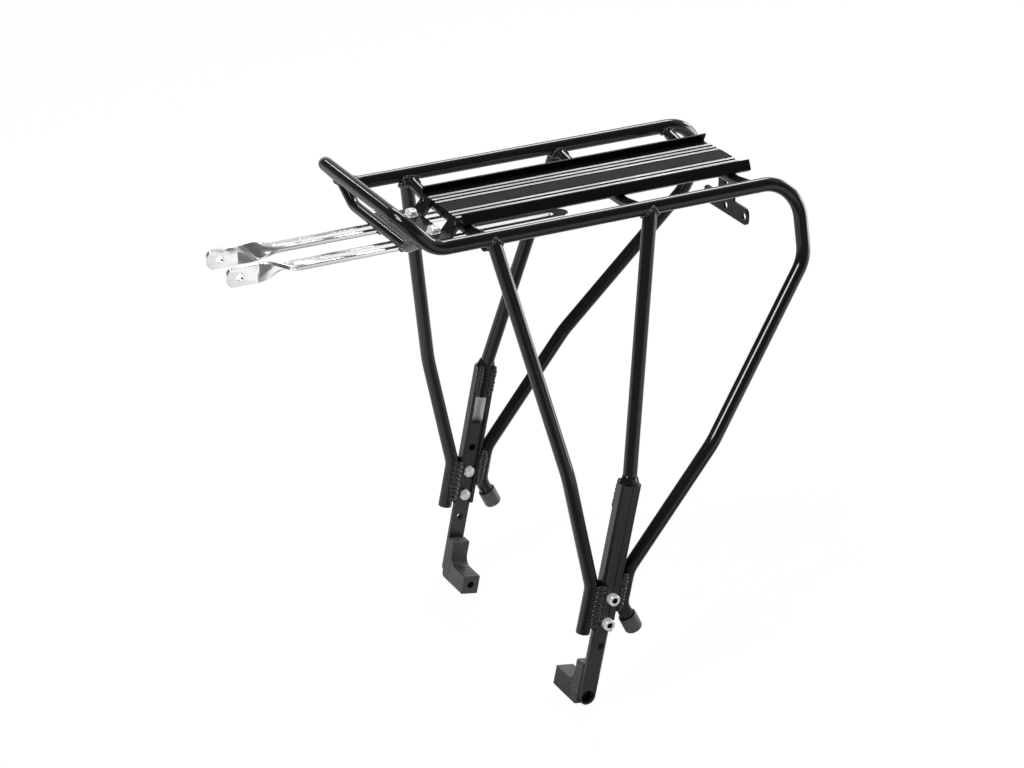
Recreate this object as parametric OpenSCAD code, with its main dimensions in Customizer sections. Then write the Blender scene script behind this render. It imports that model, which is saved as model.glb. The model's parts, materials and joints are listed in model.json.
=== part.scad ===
// Rear luggage carrier for a bicycle, with splayed legs that clear a disc brake.
// Millimetres. +X points to the back of the bicycle, +Y to its right, +Z up.
// The origin is midway between the two axle eyelets, on their common axis.

/* [Platform frame] */
// Diameter of the main bar and the legs
bar_d = 10; // [9:0.5:12]
// Distance between the centre lines of the two side rails
rail_gauge = 132; // [120:1:150]
// Height of the rails above the axle eyelets
rail_height = 342.5; // [335:0.5:360]
// How far the rails run ahead of the axle
rail_front = 94.5; // [88:1:100]
// How far the rails run behind the axle
rail_back = 185; // [180:1:200]
// Height of the front hoop above the rails
hoop_rise = 23.5; // [20:0.5:32]
// How far the hoop leans forward from the rails
hoop_reach = 23.2; // [18:0.2:28]
// Bend radius where a rail rises into the hoop
hoop_foot_r = 22; // [16:1:24]
// Bend radius of the hoop's two upper corners
hoop_corner_r = 17; // [14:1:18]
// Bend radius at the back of a rail
rail_back_r = 29; // [24:1:33]

/* [Legs] */
// Distance between the leg centre planes at the wheel
leg_gauge = 216; // [200:1:230]
// Lean of the telescopic legs from the vertical, in degrees
leg_tilt = 11; // [8:0.5:14]
// Height at which the legs stop spreading
splay_height = 176.5; // [168:1:185]
// Distance of the front legs ahead of the axle, at the rails
front_leg_ahead = 52; // [46:0.5:56]
// Rake of the front legs in side view, in degrees
front_leg_rake = 12.1; // [11:0.1:13.5]
// Rake of the back legs in side view, in degrees
back_leg_rake = 38.3; // [37:0.1:40]
// Height at which the back legs meet the sleeves
back_leg_meet = 93.7; // [90:0.1:98]
// Drop of the back bend below the rails
back_bend_drop = 54.5; // [50:0.5:58]
// Bend radius where the legs stop spreading
splay_r = 55; // [40:1:70]
// Bend radius of the legs beside the sleeves
foot_bend_r = 22; // [16:1:28]
// Height at which the main bar turns away from the sleeve
kick_height = 67.5; // [64:0.5:71]
// Angle of the kicked bar end from the vertical, in degrees
kick_angle = 26; // [20:1:32]
// Length of the kicked bar end
kick_length = 22.5; // [20:0.5:26]
// Bend radius of the kicked bar end
kick_r = 14; // [12:1:16]
// Gap between the front legs and the sleeves, filled by a wide weld
front_weld_gap = 0.9; // [0.1:0.1:1.5]
// Distance of the middle legs behind the axle, at the rails
middle_leg_back = 68; // [64:0.5:70]
// Height at which the middle legs turn into the sleeves
middle_bend = 163; // [160:1:168]
// Bend radius of the middle legs
middle_bend_r = 24; // [16:1:30]
// Depth of the open bore in the lower ends of the front legs
open_end_depth = 12; // [8:1:16]
// Wall left round that open bore
open_end_wall = 1.5; // [1:0.1:2]

/* [Telescopic legs] */
// Width of the channel sleeve
sleeve_w = 16; // [16:0.5:18]
// Depth of the channel sleeve without its outer rib
sleeve_side = 6.4; // [6.2:0.1:7.5]
// Wall of the channel sleeve
sleeve_wall = 1.6; // [1.4:0.1:1.8]
// Reach of the two lips over the open side of the sleeve
sleeve_lip = 1; // [0.8:0.1:1.2]
// Width of the slider's rib
rib_w = 6.4; // [6:0.1:7]
// Height of the sleeve's outer rib
rib_rise = 3.2; // [3:0.1:3.6]
// Depth of the drill groove along the sleeve's outer rib
drill_groove = 0.5; // [0.3:0.1:0.7]
// Distance of the sleeve's lower end from the axle
sleeve_start = 53.5; // [52:0.5:55]
// Length of the sleeve
sleeve_length = 110.5; // [106:0.5:116]
// Distance of the slider's top end from the axle
slider_top = 117.5; // [115:0.5:120]
// Distance of the first adjusting hole from the axle
hole_start = 41.5; // [40:0.5:43]
// Pitch of the adjusting holes
hole_pitch = 19; // [18.5:0.5:20]
// Number of adjusting holes in a slider
hole_count = 4; // [3:1:4]
// Distance of the middle leg's lower end from the axle
middle_leg_end = 140.5; // [138:0.5:146]
// Clearance between the slider and its sleeve
slide_fit = 0.15; // [0.1:0.05:0.25]

/* [Feet] */
// Distance between the inner faces of the two foot blocks
foot_gap = 146; // [138:1:152]
// Width of a foot block
foot_w = 13.6; // [13:0.1:15]
// Height of a foot block's arm
foot_h = 14.5; // [13:0.5:16]
// Diameter of the axle eyelet's bolt hole
eyelet_d = 5.3; // [5.2:0.1:6.4]
// Diameter of the counterbore for the bolt head
eyelet_head_d = 9.6; // [9:0.1:10]
// Depth of the counterbore from the slider's outer face
eyelet_head_depth = 8; // [6:0.5:10]
// Height at which the slider's rib ends above the eyelet
rib_foot = 13; // [10:0.5:14]
// Length of the sloping end of the slider's rib
rib_ramp = 12.5; // [7:0.5:14]
// Height of the ear that is welded behind the slider
foot_ear = 25; // [22:0.5:27]
// Thickness of that ear
foot_ear_t = 9.5; // [8:0.1:10]
// Fillet between the ear and the arm
foot_fillet = 7; // [4:0.5:8]

/* [Deck] */
// Width of the deck over its two side flanges
deck_w = 66; // [62:1:72]
// Front end of the deck, ahead of the axle
deck_front = 56.5; // [54:0.5:58]
// Length of the deck
deck_length = 225; // [215:1:232]
// Height of the deck's ribs above the rail centre line
deck_offset = -0.5; // [-1:0.1:0]
// Thickness of the deck floor
deck_floor = 2.2; // [1.8:0.1:2.6]
// Height of the deck ribs above the floor
deck_rib_h = 1.4; // [1:0.1:1.6]
// Width of one deck rib
deck_rib_w = 2.8; // [2.4:0.1:3.2]
// Pitch of the deck ribs
deck_rib_pitch = 5.3; // [4.8:0.1:5.6]
// Number of ribs on each side of the plain centre band
deck_ribs = 3; // [2:1:3]
// Width of the plain centre band
band_w = 15; // [14:0.5:16]
// Height of the side flanges above the ribs
flange_h = 5.2; // [4.5:0.1:6]
// Thickness of the side flanges
flange_t = 1.8; // [1.5:0.1:2.2]
// How far the flanges bulge outward at half height
flange_bulge = 2.8; // [2:0.1:3.2]
// Drop of the flanges' widest point below the ribs
flange_belly = 1.5; // [0.5:0.1:2]

/* [Cross members] */
// Diameter of the cross bars
cross_d = 8; // [7:0.5:8]
// Distance from the centre to the bend in a cross bar
cross_bend_y = 34; // [32:1:38]
// Bend radius of the cross bars
cross_bend_r = 26; // [20:1:30]
// Distance of the front cross bar ahead of the axle
cross_front_ahead = 50; // [44:0.5:56]
// Drop of the cross bars' ends below the rails' centre lines
cross_end_drop = 3.5; // [0:0.5:4]
// Position of the middle cross bar behind the axle
cross_middle_x = 67.5; // [64:0.5:70]
// Distance of the back cross bar in from the rails' back end
cross_back_in = 28.5; // [28:0.5:37]
// Position of the bridge below the hoop, ahead of the axle
bridge_ahead = 102.5; // [101:0.5:104]
// Distance from the centre to the bend in the bridge
bridge_bend_y = 42; // [38:1:50]
// Bend radius of the bridge
bridge_bend_r = 16; // [12:1:18]
// Height of the bridge above the stay arms
bridge_clear = 3.1; // [2.9:0.1:3.6]

/* [Stay clamp] */
// Position of the clamp bolts ahead of the axle
clamp_ahead = 71.5; // [71:0.5:73]
// Length of the clamp bracket's base along the bicycle
clamp_w = 14; // [13:0.5:15]
// Width of the clamp bracket's base across the bicycle
clamp_span = 60; // [58:1:62]
// Thickness of the clamp bracket
clamp_t = 2.5; // [2:0.1:3]
// Width of the two tabs that rise to the deck
tab_w = 14; // [12:0.5:14.5]
// Diameter of the rivet heads on the tabs
rivet_d = 4.6; // [4:0.1:5]
// Height of the rivet heads
rivet_h = 1.3; // [1:0.1:1.6]

/* [Stay arms] */
// Distance between the two stay arms
arm_gauge = 34.4; // [33:0.2:38]
// Width of a stay arm
arm_w = 13; // [12:0.5:14]
// Thickness of a stay arm
arm_t = 3; // [2.5:0.1:3.2]
// Distance of the tip holes ahead of the axle
arm_tip_ahead = 212.5; // [208:0.5:220]
// Distance of the arms' back ends behind the axle
arm_back = 30.5; // [24:0.5:34]
// Start of the twist ahead of the axle
twist_ahead = 172; // [170:1:175]
// Length of the quarter twist
twist_length = 28; // [24:1:30]
// Width of the adjusting slot
slot_w = 5.4; // [5.3:0.1:6]
// Length of the adjusting slot
slot_length = 174; // [168:1:176]
// Distance from an arm's back end to its slot
slot_margin = 11; // [9:0.5:14]
// Width of an arm's upright tip
arm_tip_w = 13.4; // [13:0.2:17]
// Distance from a tip hole to the end of its arm
tip_reach = 9.4; // [8:0.2:11]
// Radius of an arm's rounded tip
tip_round = 8; // [7.5:0.5:12]
// Diameter of the hole in an arm's tip
arm_hole_d = 5.3; // [5.2:0.1:6.4]
// Width of the guide plate under the bridge
guide_span = 62; // [58:1:70]
// Length of the guide plate along the arms
guide_length = 13; // [11:0.5:14]
// Thickness of the guide plate and its cheeks
guide_t = 2; // [1.6:0.1:2.2]
// Length of the cheeks along the arms
cheek_length = 7; // [6:0.5:9]
// Clearance between an arm and its guide
guide_fit = 0.4; // [0.3:0.05:0.5]

/* [Fasteners] */
// Diameter of the bolts
bolt_d = 5; // [4.8:0.1:5]
// Diameter of the bolt heads
bolt_head_d = 8.5; // [8:0.1:9]
// Height of the bolt heads
bolt_head_h = 5; // [4.5:0.1:5.5]
// Width of the hexagon sockets across their flats
socket_w = 4; // [3.5:0.1:4]
// Width of the nuts across their flats
nut_w = 8; // [7.8:0.1:8]
// Height of the nuts
nut_h = 3.5; // [3.2:0.1:4.7]
// Outer diameter of the washers
washer_d = 10; // [9.5:0.1:11]
// Thickness of the washers
washer_t = 0.8; // [0.6:0.1:1.2]
// Radial clearance of a bolt in its holes
bolt_fit = 0.15; // [0.1:0.05:0.15]

/* [Light bracket] */
// Distance between the two light bolt holes
light_pitch = 50; // [48:1:50]
// Diameter of the holes in the light bracket
light_hole_d = 5.2; // [5:0.1:5.5]
// Width of the light bracket's cross plate
light_plate_w = 59; // [58:1:62]
// Height of the light bracket's cross plate
light_plate_h = 12.5; // [12:0.5:15]
// Width of the light bracket's hanger
hanger_w = 21; // [18:1:26]
// Drop of the cross plate's centre below the deck
light_drop = 36; // [34:0.5:42]
// Drop of the hanger hole below the deck
hanger_hole_drop = 18; // [17:0.5:20]
// Thickness of the light bracket
bracket_t = 2; // [1.5:0.1:2.5]
// Radius of the cross plate's corners
bracket_corner = 4; // [3:0.5:5]

/* [End caps] */
// Wall of the rubber caps
cap_wall = 1.4; // [1.2:0.1:1.8]
// Length of the rubber caps
cap_length = 13; // [11:0.5:15]

/* [Hidden] */
$fn = 48;

bar_sides = 18;       // facets round a bent bar
bend_step = 13;       // degrees of bend between two rings of facets
weld_gap = 0.1;       // parts that are welded together stand this far apart
rest_gap = 0.15;      // so do parts that lie on each other
arm_clear = 0.4;      // the sliding arms pass this far below the cross bars

rail_y = rail_gauge / 2;
leg_y = leg_gauge / 2;
tilt_run = tan(leg_tilt);
bar_lane = (sleeve_w / 2 + weld_gap + bar_d / 2) / cos(leg_tilt);
front_lane = (sleeve_w / 2 + front_weld_gap + bar_d / 2) / cos(leg_tilt);

// cross-section of the sleeve: distances from the centre plane, inside to outside
sleeve_in = leg_y - sleeve_side / 2;
cavity_in = sleeve_in + sleeve_wall;
cavity_out = sleeve_in + sleeve_side - sleeve_wall;
sleeve_out = sleeve_in + sleeve_side;
rib_out = sleeve_out + rib_rise;
rib_cavity_out = rib_out - sleeve_wall;
cavity_half = sleeve_w / 2 - sleeve_wall;
slider_in = cavity_in + slide_fit;
slider_out = rib_cavity_out - slide_fit;
rib_cavity_half = rib_w / 2 + slide_fit;
rib_half = rib_cavity_half + sleeve_wall + 0.6;
slider_half = cavity_half - slide_fit;
slider_base_out = cavity_out - slide_fit;

deck_top = rail_height + deck_offset;
deck_groove = deck_top - deck_rib_h;
deck_bottom = deck_groove - deck_floor;
flange_top = deck_top + flange_h;
cross_back_x = rail_back - cross_back_in;
deck_back = deck_length - deck_front;

cross_z = deck_bottom - rest_gap - cross_d / 2;
arm_top = cross_z - cross_d / 2 - arm_clear;
arm_bottom = arm_top - arm_t;
arm_y = arm_gauge / 2;
clamp_bottom = arm_top + rest_gap;
clamp_top = clamp_bottom + clamp_t;
bridge_z = arm_top + bridge_clear + cross_d / 2;
clamp_hole_d = bolt_d + 2 * bolt_fit;

function unit(v) = v / norm(v);

// height at which a line of run per height k1 through (x1, z1) meets the lane x = z * tilt_run + lane
function lane_height(x1, z1, k1, lane) = (lane - x1 + k1 * z1) / (k1 - tilt_run);

// distance from the centre plane of a spreading leg at height z
function splay(z) = rail_y + (leg_y - rail_y) * (rail_height - z) / (rail_height - splay_height);

// ---- bent bars -------------------------------------------------------------

function turn(p, i) = acos(max(-1, min(1, unit(p[i] - p[i - 1]) * unit(p[i + 1] - p[i]))));

function bend_points(p, r, i) =
    let (
        u = unit(p[i] - p[i - 1]),
        v = unit(p[i + 1] - p[i]),
        t = turn(p, i),
        c = p[i] + unit(v - u) * r / cos(t / 2),
        e = unit(p[i] - u * r * tan(t / 2) - c),
        n = max(1, round(t / bend_step))
    )
    [for (k = [0 : n]) c + r * (e * cos(t * k / n) + u * sin(t * k / n))];

// centre line through the corner points p, each inner corner rounded to its radius in r
function centre_line(p, r) = [
    for (i = [0 : len(p) - 1])
        each (i == 0 || i == len(p) - 1 ? [p[i]] : bend_points(p, r[i - 1], i))
];

function tangents(c) = [
    for (i = [0 : len(c) - 1])
        let (a = max(i - 1, 0), b = min(i + 1, len(c) - 1), m = min(max(i, 1), len(c) - 2))
        i == 0 || i == len(c) - 1 ? unit(c[b] - c[a]) : unit(unit(c[m] - c[a]) + unit(c[b] - c[m]))
];

// side vectors carried along the tangents without twisting
function carried(t, i, v) = i == len(t) ? [] :
    let (w = unit(v - t[i] * (v * t[i])))
    concat([w], carried(t, i + 1, w));

module bent_bar(p, r, d) {
    c = centre_line(p, r);
    t = tangents(c);
    side = carried(t, 0, [0.12, 0.35, 1]);
    n = bar_sides;
    rings = len(c);
    points = [
        for (i = [0 : rings - 1], k = [0 : n - 1])
            c[i] + d / 2 * (side[i] * cos(360 * k / n) + cross(t[i], side[i]) * sin(360 * k / n))
    ];
    walls = [
        for (i = [0 : rings - 2], k = [0 : n - 1])
            [i * n + k, (i + 1) * n + k, (i + 1) * n + (k + 1) % n, i * n + (k + 1) % n]
    ];
    first = [for (k = [0 : n - 1]) k];
    last = [for (k = [n - 1 : -1 : 0]) (rings - 1) * n + k];
    polyhedron(points, concat([first], walls, [last]));
}

// room for the right rail, to shape the bars that are welded against it
module rail_room(x) {
    translate([x - 2 * bar_d, rail_y, rail_height]) rotate([0, 90, 0])
        cylinder(h = 4 * bar_d, d = bar_d + 2 * weld_gap);
}

// room for the top of a leg that leaves the right rail at x towards the point p
module leg_room(x, p) {
    v = p - [x, rail_y, rail_height];
    translate([x, rail_y, rail_height]) rotate([0, acos(v[2] / norm(v)), atan2(v[1], v[0])])
        cylinder(h = 4 * bar_d, d = bar_d + 2 * weld_gap);
}

// ---- frames of reference ---------------------------------------------------

module left_side() { mirror([0, 1, 0]) children(); }

// local z runs up the telescopic leg from the axle, local x to the back
module along_leg() { rotate([0, leg_tilt, 0]) children(); }

module both_sides() {
    children();
    left_side() children();
}

// local x runs outward across the carrier, local y up, and the extrusion backward
module across_profile() { rotate([90, 0, 90]) children(); }

// ---- main frame ------------------------------------------------------------

back_corner_z = rail_height - back_bend_drop;
kick_x = kick_height * tilt_run + bar_lane;

function kick_point(s) = [kick_x + s * sin(kick_angle), leg_y, kick_height - s * cos(kick_angle)];

// place along the bicycle of the raked back leg at height z
function back_leg_x(z) = back_leg_meet * tilt_run + bar_lane + (z - back_leg_meet) * tan(back_leg_rake);

back_bend = [back_leg_x(back_corner_z), splay(back_corner_z), back_corner_z];
rail_corner = [rail_back, rail_y, rail_height];
rail_corner_r = rail_back_r - 1;

half_frame = [
    kick_point(kick_length),
    kick_point(0),
    [back_leg_x(back_leg_meet), leg_y, back_leg_meet],
    [back_leg_x(splay_height), leg_y, splay_height],
    back_bend,
    rail_corner,
    [-rail_front, rail_y, rail_height],
    [-rail_front - hoop_reach, rail_y, rail_height + hoop_rise]
];
half_radii = [kick_r, foot_bend_r, splay_r, rail_back_r, rail_corner_r, hoop_foot_r, hoop_corner_r];

function flip_y(p) = [p[0], -p[1], p[2]];
function reversed(l) = [for (i = [len(l) - 1 : -1 : 0]) l[i]];

module main_frame() {
    color([0.09, 0.09, 0.1])
        bent_bar(concat(half_frame, [for (p = reversed(half_frame)) flip_y(p)]),
                 concat(half_radii, reversed(half_radii)), bar_d);
}

// ---- legs ------------------------------------------------------------------

front_lane_z = lane_height(-front_leg_ahead, rail_height, -tan(front_leg_rake), -front_lane);
front_end_z = sleeve_start * cos(leg_tilt);

front_splay = [-front_leg_ahead + (rail_height - splay_height) * tan(front_leg_rake), leg_y, splay_height];

module front_leg() {
    color([0.09, 0.09, 0.1]) difference() {
        bent_bar([
            [-front_leg_ahead, rail_y, rail_height],
            front_splay,
            [front_lane_z * tilt_run - front_lane, leg_y, front_lane_z],
            [front_end_z * tilt_run - front_lane, leg_y, front_end_z]
        ], [splay_r, foot_bend_r], bar_d);
        rail_room(-front_leg_ahead);
        translate([front_end_z * tilt_run - front_lane, leg_y, front_end_z]) along_leg()
            translate([0, 0, -1]) cylinder(h = open_end_depth + 1, d = bar_d - 2 * open_end_wall);
    }
}

// the middle leg nests in the sleeve, against the bottom of its recess
nest_y = rib_cavity_out - rest_gap - bar_d / 2;
middle_knee = [middle_bend * tilt_run, nest_y, middle_bend];

module middle_leg() {
    color([0.09, 0.09, 0.1]) difference() {
        bent_bar([
            [middle_leg_back, rail_y, rail_height],
            middle_knee,
            [middle_leg_end * sin(leg_tilt), nest_y, middle_leg_end * cos(leg_tilt)]
        ], [middle_bend_r], bar_d);
        rail_room(middle_leg_back);
    }
}

// ---- cross members ---------------------------------------------------------

// room for the right rail where it turns down at the back
module rail_corner_room() {
    bent_bar([rail_corner - [3 * rail_back_r, 0, 0], rail_corner, back_bend], [rail_corner_r],
             bar_d + 2 * weld_gap);
}

module cross_bar(x) {
    legs = [[-front_leg_ahead, front_splay], [middle_leg_back, middle_knee]];
    end_z = rail_height - cross_end_drop;
    color([0.09, 0.09, 0.1]) difference() {
        bent_bar([[x, -rail_y, end_z], [x, -cross_bend_y, cross_z], [x, cross_bend_y, cross_z],
                  [x, rail_y, end_z]], [cross_bend_r, cross_bend_r], cross_d);
        both_sides() {
            if (x > rail_back - 2 * rail_back_r) rail_corner_room(); else rail_room(x);
            for (leg = legs) if (abs(leg[0] - x) < bar_d) leg_room(leg[0], leg[1]);
        }
    }
}

// room for the rising end of the hoop
module hoop_room() {
    translate([-rail_front, rail_y, rail_height]) rotate([0, -atan2(hoop_reach, hoop_rise), 0])
        cylinder(h = 3 * bar_d, d = bar_d + 2 * weld_gap);
}

module stay_bridge() {
    weld_z = rail_height + (bridge_ahead - rail_front) * hoop_rise / hoop_reach;
    ends = [[-bridge_ahead, bridge_bend_y, bridge_z], [-bridge_ahead, rail_y, weld_z]];
    color([0.09, 0.09, 0.1]) difference() {
        bent_bar([flip_y(ends[1]), flip_y(ends[0]), ends[0], ends[1]],
                 [bridge_bend_r, bridge_bend_r], cross_d);
        both_sides() hoop_room();
    }
}

// ---- stay clamp ------------------------------------------------------------

clamp_back = clamp_w / 2 - clamp_ahead;
tab_end = -deck_front - weld_gap;
tab_out = deck_w / 2 - flange_bulge - flange_t;
tab_slope = atan2(deck_top - clamp_top, tab_end - clamp_back);
tab_edge = clamp_t / cos(tab_slope);  // height of the tab's sheet where it meets the deck
tab_lap = 0.5;                        // the tab's sheet starts this deep in the base
rivet_along = 0.65;                   // place of a rivet, as a share of the slope
rivet_across = 0.3;                   // and of the tab's width from its outer edge

// bent sheet: a base that lies on the two arms, and two tabs that rise to the deck
module clamp_bracket() {
    knee = (tab_lap - clamp_t + tab_edge) / tan(tab_slope);
    color([0.09, 0.09, 0.1]) difference() {
        union() {
            translate([-clamp_ahead - clamp_w / 2, -clamp_span / 2, clamp_bottom])
                cube([clamp_w, clamp_span, clamp_t]);
            both_sides() translate([0, tab_out, 0]) rotate([90, 0, 0]) linear_extrude(tab_w) polygon([
                [clamp_back - clamp_t, clamp_bottom + tab_lap], [clamp_back + knee, clamp_bottom + tab_lap],
                [tab_end, deck_top - tab_edge], [tab_end, deck_top], [clamp_back, clamp_top],
                [clamp_back - clamp_t, clamp_top - tab_lap]
            ]);
        }
        at_clamps(clamp_bottom - 1) cylinder(h = clamp_t + 2, d = clamp_hole_d);
    }
}

module bracket_rivets() {
    run = rivet_along * (tab_end - clamp_back);
    color([0.09, 0.09, 0.1]) both_sides()
        translate([clamp_back + run, tab_out - rivet_across * tab_w, clamp_top + run * tan(tab_slope)])
            rotate([0, -tab_slope, 0]) translate([0, 0, weld_gap]) {
                cylinder(h = rivet_h / 2, d = rivet_d);
                translate([0, 0, rivet_h / 2]) cylinder(h = rivet_h / 2, d1 = rivet_d, d2 = rivet_d / 2);
            }
}

// ---- telescopic legs -------------------------------------------------------

// half outline of the channel from its open side round to the drill groove
sleeve_half = [
    [cavity_half - sleeve_lip, sleeve_in], [sleeve_w / 2, sleeve_in], [sleeve_w / 2, sleeve_out],
    [rib_half + 0.5 * rib_rise, sleeve_out], [rib_half, rib_out], [2 * drill_groove, rib_out],
    [0, rib_out - drill_groove]
];
cavity_outline = [
    [rib_cavity_half, rib_cavity_out], [cavity_half, cavity_out], [cavity_half, cavity_in],
    [cavity_half - sleeve_lip, cavity_in]
];

function flip_x(l) = [for (p = l) [-p[0], p[1]]];

module sleeve_profile() {
    right = concat(cavity_outline, sleeve_half);
    polygon(concat(right, reversed(flip_x([for (i = [0 : len(right) - 2]) right[i]]))));
}

module leg_bolt_holes(first, count, d) {
    for (i = [0 : count - 1]) translate([0, sleeve_in - 1, first + i * hole_pitch])
        rotate([-90, 0, 0]) cylinder(h = rib_out - sleeve_in + 2, d = d);
}

module leg_sleeve() {
    color([0.1, 0.1, 0.11]) along_leg() difference() {
        translate([0, 0, sleeve_start]) linear_extrude(sleeve_length) sleeve_profile();
        leg_bolt_holes(hole_start + hole_pitch, 2, clamp_hole_d);
    }
}

function arc(c, r, a0, a1) = [
    for (k = [0 : 8]) let (a = a0 + (a1 - a0) * k / 8) c + r * [cos(a), sin(a)]
];

eye_step = 10;        // turn between the two arcs round an eyelet

// outline of a slider seen from the side: square at the top, round about the eyelet
module slider_outline() {
    far = slider_half + 1;
    polygon(concat(arc([0, 0], slider_half, 180, 270), arc([0, 0], slider_half, 270 + eye_step, 360),
                   [[far, 1], [far, slider_top + 1], [-far, slider_top + 1], [-far, 1]]));
}

module slider_profile() {
    right = [[slider_half, slider_in], [slider_half, slider_base_out], [rib_w / 2, slider_out]];
    polygon(concat(right, reversed(flip_x(right))));
}

module leg_slider() {
    ramp = rib_ramp / (slider_out - slider_base_out);
    color([0.2, 0.2, 0.21]) along_leg() difference() {
        intersection() {
            translate([0, 0, -foot_h]) linear_extrude(slider_top + foot_h) slider_profile();
            translate([0, slider_out + 1, 0]) rotate([90, 0, 0]) linear_extrude(slider_out - slider_in + 2)
                slider_outline();
        }
        // below its sloping end the rib is cut away
        translate([-foot_w, 0, 0]) across_profile() linear_extrude(2 * foot_w) polygon([
            [slider_base_out, -2 * foot_h], [slider_out + 1, -2 * foot_h],
            [slider_out + 1, rib_foot + rib_ramp + ramp], [slider_base_out, rib_foot]
        ]);
        leg_bolt_holes(hole_start, hole_count, clamp_hole_d);
        translate([0, slider_in - 1, 0]) rotate([-90, 0, 0])
            cylinder(h = slider_out - slider_in, d = eyelet_head_d);
    }
}

ear_out = slider_in - weld_gap;
ear_in = ear_out - foot_ear_t;

module foot_block() {
    inner = foot_gap / 2;
    head = slider_base_out - eyelet_head_depth;
    color([0.2, 0.2, 0.21]) along_leg() difference() {
        translate([-foot_w / 2, 0, 0]) across_profile() linear_extrude(foot_w) polygon(concat(
            [[inner, -foot_h / 2], [ear_out - 2, -foot_h / 2], [ear_out, 2 - foot_h / 2],
             [ear_out, foot_ear - 1], [ear_out - 1, foot_ear],
             [ear_in + 1, foot_ear], [ear_in, foot_ear - 1]],
            arc([ear_in - foot_fillet, foot_h / 2 + foot_fillet], foot_fillet, 0, -90),
            [[inner, foot_h / 2]]
        ));
        translate([0, inner - 1, 0]) rotate([-90, 0, 0]) cylinder(h = head - inner + 2, d = eyelet_d);
        translate([0, head, 0]) rotate([-90, 0, 0]) cylinder(h = ear_out - head + 1, d = eyelet_head_d);
    }
}

// ---- fasteners -------------------------------------------------------------

bolt_show = 0.6;      // the bolts' ends show this far beyond their nuts

// socket-head bolt pointing down local z, its head standing on z = 0
module socket_bolt(length) {
    difference() {
        union() {
            cylinder(h = bolt_head_h, d = bolt_head_d);
            translate([0, 0, -length]) cylinder(h = length + 1, d = bolt_d);
        }
        translate([0, 0, bolt_head_h / 2]) cylinder(h = bolt_head_h, d = socket_w / cos(30), $fn = 6);
    }
}

// nut or washer whose lower face stands on z = 0
module nut() {
    difference() {
        cylinder(h = nut_h, d = nut_w / cos(30), $fn = 6);
        translate([0, 0, -1]) cylinder(h = nut_h + 2, d = clamp_hole_d);
    }
}

module washer() {
    difference() {
        cylinder(h = washer_t, d = washer_d);
        translate([0, 0, -1]) cylinder(h = washer_t + 2, d = clamp_hole_d);
    }
}

module at_leg_bolts(y) {
    both_sides() along_leg() for (i = [1, 2]) translate([0, y, hole_start + i * hole_pitch]) children();
}

leg_bolt_length = rib_out - slider_in + rest_gap + nut_h + bolt_show;

module leg_bolts() {
    color([0.75, 0.76, 0.78]) at_leg_bolts(rib_out + weld_gap) rotate([-90, 0, 0])
        socket_bolt(leg_bolt_length);
}

module leg_nuts() {
    color([0.75, 0.76, 0.78]) at_leg_bolts(slider_in - weld_gap) rotate([90, 0, 0]) nut();
}

module at_clamps(z) {
    for (s = [-1, 1]) translate([-clamp_ahead, s * arm_y, z]) children();
}

low_washer_z = arm_bottom - rest_gap - washer_t;
top_washer_z = clamp_top + weld_gap;
nut_z = top_washer_z + washer_t + weld_gap;

module clamp_bolts() {
    color([0.75, 0.76, 0.78]) at_clamps(low_washer_z - weld_gap) rotate([180, 0, 0])
        socket_bolt(nut_z + nut_h + bolt_show - low_washer_z);
}

module clamp_nuts() { color([0.75, 0.76, 0.78]) at_clamps(nut_z) nut(); }

module clamp_washers() {
    color([0.7, 0.71, 0.73]) {
        at_clamps(low_washer_z) washer();
        at_clamps(top_washer_z) washer();
    }
}

// ---- deck ------------------------------------------------------------------

// the raised ribs on one side of the centre band
rib_steps = [
    for (i = [0 : deck_ribs - 1])
        let (c = band_w / 2 + deck_rib_pitch * (i + 0.5))
        each [[c - deck_rib_w / 2, deck_groove], [c - deck_rib_w / 2, deck_top],
              [c + deck_rib_w / 2, deck_top], [c + deck_rib_w / 2, deck_groove]]
];

// half section of the deck: band, ribs, then the bulging flange with its inner undercut
flange_foot = deck_w / 2 - flange_bulge;
flange_edge = 0.4;    // bevel on top of the flanges
half_deck = concat(
    [[band_w / 2, deck_top], [band_w / 2, deck_groove]],
    rib_steps,
    [[flange_foot - flange_t, deck_groove], [deck_w / 2 - flange_t, deck_top - flange_belly / 2],
     [flange_foot - flange_t, flange_top - flange_edge], [flange_foot - flange_edge, flange_top],
     [deck_w / 2, deck_top - flange_belly], [flange_foot, deck_bottom]]
);

module deck_profile() { polygon(concat(half_deck, reversed(flip_x(half_deck)))); }

module deck_plate() {
    color([0.12, 0.12, 0.13]) translate([-deck_front, 0, 0]) across_profile() linear_extrude(deck_length)
        deck_profile();
}

// ---- light bracket ---------------------------------------------------------

light_face = deck_back + rest_gap + bracket_t;

module light_bracket() {
    low = deck_bottom - light_drop - light_plate_h / 2;
    wide = light_plate_w / 2;
    slim = hanger_w / 2;
    top = deck_bottom - rest_gap;
    tongue = light_face - cross_back_x - cross_d / 2 - 1;
    half = concat(
        arc([wide - bracket_corner, low + bracket_corner], bracket_corner, -90, 0),
        arc([wide - bracket_corner, low + light_plate_h - bracket_corner], bracket_corner, 0, 90),
        [[slim, low + light_plate_h], [slim, top]]
    );
    color([0.08, 0.08, 0.09]) difference() {
        union() {
            translate([light_face - bracket_t, 0, 0]) across_profile() linear_extrude(bracket_t)
                polygon(concat(half, reversed(flip_x(half))));
            translate([light_face - tongue, -slim, top - bracket_t])
                cube([tongue - bracket_t / 2, hanger_w, bracket_t]);
        }
        for (p = [[-light_pitch / 2, light_drop], [0, light_drop], [light_pitch / 2, light_drop],
                  [0, hanger_hole_drop]])
            translate([light_face - bracket_t - 1, p[0], deck_bottom - p[1]]) rotate([0, 90, 0])
                cylinder(h = bracket_t + 2, d = light_hole_d);
    }
}

// ---- stay arms -------------------------------------------------------------

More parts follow.
